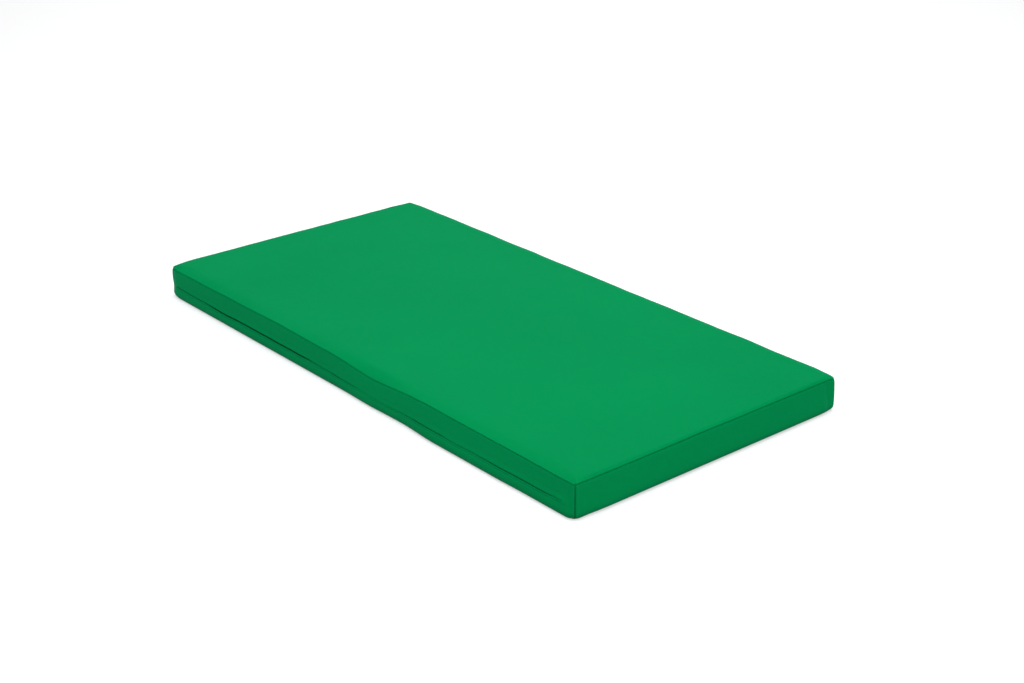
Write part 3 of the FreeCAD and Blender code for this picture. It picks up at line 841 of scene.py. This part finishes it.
def zip_upper():
    """The upper strip, folded under at its free edge to make the flap over the zip."""
    levels = [HINGE.z - 1 * MM + NONE, 66 * MM + NONE, 61 * MM + NONE]
    levels += [EDGE_Z + up * MM for up in (12, 5, 2)]
    rows = [(flap_inset(height) + FOLD, height) for height in levels]
    for inward, up in ((1.6, 0.8), (1.35, 0.2), (0.83, -0.05), (0.3, 0.2), (0.05, 0.8)):
        rows.append((flap_inset(EDGE_Z + up * MM) + inward * MM, EDGE_Z + up * MM))
    for up in (2, 3.5, 5, 7.5, 10, 12.5, 13.8, 15, 16.2, 17.5):
        rows.append((flap_inset(EDGE_Z + up * MM), EDGE_Z + up * MM))
    grid = smooth_path(grid_of(rows + upper_face_rows() + head_rows()))
    middle = np.flatnonzero((np.abs(X) <= FLAP_HALF + 1e-6) & ON_FRONT)
    flap = grid_piece("zip_side_upper", grid[:, middle], COVER, "cover_cloth", body=None, thickness=CLOTH)
    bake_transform(flap)
    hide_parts("zip_flap", "zip_side_upper_strip")
    return middle


def zip_upper_ends(middle):
    """The upper strip past the flap's ends, as far as the upright seams."""
    levels = [SHUT_Z + NONE] + [level * MM + NONE for level in (42, 47, 53, 60)]
    rows = [(side_inset(height), height) for height in levels]
    grid = smooth_path(grid_of(rows + upper_face_rows() + head_rows()))
    for name, chosen, side in (
        ("zip_side_end_left", np.arange(0, middle[0] + 1), -1),
        ("zip_side_end_right", np.arange(middle[-1], CORNER_A + 1), 1),
    ):
        strip = grid[:, chosen]
        join = 0 if side > 0 else -1
        slit = 1 - step_up(strip[:, join, 2], HINGE_END, HINGE_START)
        strip[:, join, 0] += side * LAYER_GAP * slit
        strip = with_turned_ends(strip, left=side < 0, right=side > 0)
        piece = grid_piece(name, strip, COVER, "cover_cloth", thickness=CLOTH)
        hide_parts("zip_side_upper_strip")


def zip_lower():
    """The lower strip, turned back on itself along the zip."""
    top = (1 - BEYOND) * LOWER_Z + BEYOND * (SHUT_Z - 0.03 * MM)
    rows = foot_rows()
    for height in (0.26 * top, 0.4 * top, 0.54 * top, top - 13 * MM, top - 10.5 * MM, top - 8.5 * MM):
        rows.append((lower_inset(height), height))
    for down in (7, 6, 5, 3.5, 2, 1.2):
        rows.append((lower_inset(top - down * MM), top - down * MM))
    face = lower_inset(top)
    turned_z = np.maximum(top + 2.5 * MM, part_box("zip_side_lower_strip")[1].z)
    # Inset and height along the flap, and then beyond its ends.
    fold = (
        (face + 0.15 * MM, top - 0.7 * MM, face, top - 0.6 * MM),
        (face + 0.5 * MM, top - 0.1 * MM, face, top - 0.3 * MM),
        (face + 1.2 * MM, top, face, top),
        (1.0 * MM + NONE, top + 0.1 * MM, face + 0.9 * MM, top - 0.2 * MM),
        (2.0 * MM + NONE, top + 0.6 * MM, face + 0.95 * MM, top - 1.2 * MM),
        (2.05 * MM + NONE, turned_z, face + 1.0 * MM, top - 5 * MM),
    )
    for inset, height, end_inset, end_height in fold:
        inset = (1 - BEYOND) * inset + BEYOND * end_inset
        height = (1 - BEYOND) * height + BEYOND * end_height
        rows.append((inset, height))
    grid = smooth_path(grid_of(rows))[:, FRONT]
    strip = with_turned_ends(grid)
    piece = grid_piece("zip_side_lower", strip, COVER, "cover_cloth", thickness=CLOTH)
    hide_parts("zip_side_lower_strip")


def straight_strip(name, section, material, slot, thickness, node, seed):
    """A strip along the zip from rows of (inset, height), with a slight wander, resting on the foam."""
    half = FLAP_HALF + END_LAP
    x = spaced(-half, half)
    points = np.column_stack([x, 0 * x, 0 * x])
    wander = 0.25 * MM * ripple(points, 0.09, seed)
    rows = smooth_path(np.array(section, float) * MM)
    grid = np.stack(
        [np.column_stack([x, inset - HALF_WIDTH + 0 * x, height + wander]) for inset, height in rows]
    )
    piece = grid_piece(name, grid, material, slot, thickness=thickness)
    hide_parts(node)


def zip_inside():
    """The turned-back cloth behind the flap, the two tapes and the tabs over the tapes' ends."""
    turned = ((2.0, 59.0), (2.0, 65.0), (2.0, 71.0), (1.5, 72.6), (0.6, 73.4))
    straight_strip(
        "zip_side_turned", turned, COVER, "cover_cloth", CLOTH, "zip_side_upper_strip", 9
    )
    upper = ((6.0, 50.9), (6.0, 54.0), (6.0, 57.4), (2.95, 60.2), (2.95, 65.0), (2.95, 68.9))
    lower = [(inset, 2 * ZIP_LEVEL / MM - height) for inset, height in reversed(upper)]
    for name, section, seed in (("zip_tape_upper", upper, 10), ("zip_tape_lower", lower, 11)):
        straight_strip(name + "_woven", section, TAPE, "zip_tape", 0.55 * MM, name, seed)
    for side in ("left", "right"):
        low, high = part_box(f"zip_end_tab_{side}")
        x = np.linspace(low.x, high.x, 13)
        z = np.linspace(low.z, high.z, 11)
        grid_x, grid_z = np.meshgrid(x, z)
        puff = 0.25 * MM * (1 - (2 * (grid_z - z.mean()) / (high.z - low.z)) ** 2)
        grid = np.stack([grid_x, low.y + 0.3 * MM - puff, grid_z], -1)
        tab = grid_piece(f"zip_tab_{side}", grid, COVER, "cover_cloth", thickness=0.5 * MM)
        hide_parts(f"zip_end_tab_{side}")


# ---------------------------------------------------------------- zip chain, threads and foam


def bars(name, middles, ways, sides, outs, size, material, slot, body, nodes):
    """Many small rounded bars: each has a middle, a way along, a side and an out direction.

    Size is (length, width, thickness, arch): an arched bar's ends sink below its middle.
    """
    length, width, thickness, arch = size
    sections = ((-0.5, 0.12), (-0.42, 0.75), (-0.2, 1.0), (0.2, 1.0), (0.42, 0.75), (0.5, 0.12))
    turns = np.linspace(0, 2 * math.pi, 6, endpoint=False)
    points = []
    for along, swell in sections:
        lift = arch * (1 - (2 * along) ** 2) - arch / 2
        for turn in turns:
            point = middles + along * length * ways
            point = point + (swell * width / 2 * math.cos(turn)) * sides
            point = point + (swell * thickness / 2 * math.sin(turn) + lift) * outs
            points.append(point)
    points = np.stack(points, axis=1).reshape(-1, 3)
    count, corners = len(middles), len(turns)
    one = np.array(grid_faces(len(sections), corners, closed=True))
    starts = np.arange(count) * len(sections) * corners
    faces = (one[None] + starts[:, None, None]).reshape(-1, 4).tolist()
    last = (len(sections) - 1) * corners
    caps = np.array([list(range(corners))[::-1], [last + turn for turn in range(corners)]])
    faces += (caps[None] + starts[:, None, None]).reshape(-1, corners).tolist()
    piece = new_piece(name, points, faces, material, slot, body=body)
    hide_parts(*nodes)


STITCH = (3.3 * MM, 0.6 * MM, 0.55 * MM, 0.35 * MM)  # length, width, thickness and arch
STITCH_PITCH = 4 * MM


def stitch_row(name, path, outs, body, nodes):
    """Stitches along a path of points, each standing out of the cloth by half its thickness."""
    steps = np.linalg.norm(np.diff(path, axis=0), axis=1)
    along = np.concatenate([[0.0], np.cumsum(steps)])
    places = np.arange(STITCH_PITCH / 2, along[-1], STITCH_PITCH)

    def at(values, distance):
        return np.column_stack([np.interp(distance, along, column) for column in values.T])

    middles = at(path, places)
    ways = at(path, places + 1 * MM) - at(path, places - 1 * MM)
    ways /= np.linalg.norm(ways, axis=1)[:, None]
    outs = at(outs, places)
    outs /= np.linalg.norm(outs, axis=1)[:, None]
    sides = np.cross(ways, outs)
    bars(name, middles, ways, sides, outs, STITCH, THREAD, "thread", body, nodes)


def loop_outs():
    """Outward directions at the loop's points."""
    out = loop_at(-1 * MM) - loop_at(1 * MM)
    return np.column_stack([out, NONE])


def threads():
    """The stitches of the seams, and of the rows that hold the hem and the zip's tapes."""
    outs = loop_outs()
    around = np.append(INDEX, 0)
    for name, inset, height in (
        ("seam_thread_top", TOP_CREASE + 1.4 * MM, SEAM_Z - 7.5 * MM),
        ("seam_thread_bottom", BOTTOM_CREASE + 1.4 * MM, 7.5 * MM + NONE),
    ):
        stitch_row(name + "_stitches", ring(inset, height)[around], -outs[around], CORE, [name])
    for side, corner in (("right", CORNER_A), ("left", 0)):
        name = f"seam_thread_corner_{side}"
        low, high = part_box(name)
        z = np.linspace(low.z, high.z, 12)
        place = loop_at(6 * MM)[corner]
        path = np.column_stack([place[0] + 0 * z, place[1] + 0 * z, z])
        out = np.array((-math.copysign(1, place[0]) * 0.7, 0.7, 0.0))
        stitch_row(name + "_stitches", path, np.tile(out, (len(z), 1)), CORE, [name])
    flat = ON_FRONT & (np.abs(X) < FLAP_HALF - 5 * MM)
    out = np.tile((0.0, -1.0, 0.0), (flat.sum(), 1))
    for name, height, inset_at, body in (
        ("zip_stitch_lower_row", TOPSTITCH_Z, lower_inset, CORE),
        ("flap_hem_stitch", HEM_Z, flap_inset, FLAP),
    ):
        path = ring(inset_at(height), height)[flat]
        stitch_row(name + "_stitches", path, out, body, [name])
    low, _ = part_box("zip_stitch_upper_row")
    path = ring(2.0 * MM, low.z + NONE)[flat]
    stitch_row("zip_stitch_upper_row_stitches", path, out, CORE, ["zip_stitch_upper_row"])


TOOTH_PITCH = 2.5 * MM


def chain():
    """Two rows of coil teeth, each tooth a bent bar across its tape's edge."""
    for name, side in (("zip_coil_upper", 1), ("zip_coil_lower", -1)):
        low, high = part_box(name)
        middle = (low + high) / 2
        x = np.arange(low.x + TOOTH_PITCH, high.x - TOOTH_PITCH / 2, TOOTH_PITCH)
        x = x + (side > 0) * TOOTH_PITCH / 2
        middles = np.column_stack([x, 0 * x + middle.y, 0 * x + middle.z])
        ways = np.tile((0.12, 0.0, 1.0), (len(x), 1))
        sides = np.tile((1.0, 0.0, -0.12), (len(x), 1))
        outs = np.tile((0.0, 1.0, 0.0), (len(x), 1))
        size = (high.z - low.z, 1.5 * MM, 1.8 * MM, 0.5 * MM)
        bars(name + "_teeth", middles, ways, sides, outs, size, COIL, "zip_coil", CORE, [name])


FOAM_CLEARANCE = 1.4 * MM  # between the foam's top and the top panel
FOAM_FLAT = 46 * MM  # inset at which the foam's flat faces begin
GROOVE_DEPTH = 11.4 * MM  # how deep the zip is pressed into the foam
GROOVE_CUTS = (
    (17, 0), (28, 0), (38, 0), (40, 0.15), (42, 1), (58, 1), (60, 0.15), (62, 0), (70, 0), (77, 0)
)  # height in millimetres, and the share of the groove's depth


def foam_slab(name, rings, top, bottom, material, slot, node):
    """A padded piece closed above and below."""
    shell = Shell(rings)
    shell.cap(top, upward=True)
    shell.cap(bottom, upward=False)
    slab = new_piece(name, np.concatenate(shell.points), shell.faces, material, slot)
    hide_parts(node)


def foam():
    """The soft block, recessed behind the zip, and the firmer sheet glued on it."""
    block_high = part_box("foam_base_block")[1]
    seam = block_high.z
    tuck = UPRIGHT + np.maximum(0, -SWELL) + 2.2 * MM * ROUND_B
    side = HALF_LENGTH - block_high.x + tuck
    groove = GROOVE_DEPTH * within(X, -0.98, 0.98, 4 * MM) * ON_FRONT

    def seam_height(x, y):
        return seam + np.zeros(np.shape(x))

    def under_height(x, y):
        return 1 * MM + np.zeros(np.shape(x))

    foot = ((46.0, 1.0), (25.0, 1.1), (16.0, 2.6), (11.5, 5.8), (9.4, 9.8), (6.6, 12.5))
    rings = [ring(tuck + inset * MM, height * MM) for inset, height in foot]
    rings += [ring(side + cut * groove, height * MM) for height, cut in GROOVE_CUTS]
    for inset, down in ((4.6, 0.5), (5.6, 0.0), (20.0, 0.0)):
        rings.append(ring(tuck + inset * MM, seam - down * MM))
    rings.append(ring(FOAM_FLAT, seam))
    foam_slab("foam_block", rings, seam_height, under_height, SOFT_FOAM, "soft_foam", "foam_base_block")

    def top_face(x, y):
        return top_height(x, y) - FOAM_CLEARANCE

    rings = [ring(FOAM_FLAT, seam), ring(tuck + 20 * MM, seam), ring(tuck + 5.4 * MM, seam)]
    rings += [ring(tuck + 4.6 * MM, seam + 0.5 * MM), ring(side, seam + 2 * MM)]
    rings += [ring(side, SEAM_Z - 11 * MM), ring(side + 0.6 * MM, SEAM_Z - 7 * MM)]
    rings += crown_rings(side + 1.4 * MM, SEAM_Z - 5 * MM, ROLL, drop=FOAM_CLEARANCE)
    foam_slab("foam_sheet", rings, top_face, seam_height, FIRM_FOAM, "firm_foam", "foam_top_sheet")


def hardware():
    """The slider, its pull tab and the stops keep their own solids, with softened edges."""
    for node in ("zip_slider_body", "zip_puller", "zip_top_stops", "zip_bottom_stop"):
        part = bpy.data.objects[node]
        part.data.materials.clear()
        part.data.materials.append(METAL)
        bevel = part.modifiers.new("edges", "BEVEL")
        bevel.width = 0.2 * MM
        bevel.segments = 2
        bevel.limit_method = "ANGLE"
        bevel.harden_normals = False


# ---------------------------------------------------------------- build

camera()
studio()
foam()
top_panel()
bottom_panel()
wrap_boxing()
FLAP_COLUMNS = zip_upper()
zip_upper_ends(FLAP_COLUMNS)
zip_lower()
zip_inside()
threads()
chain()
hardware()
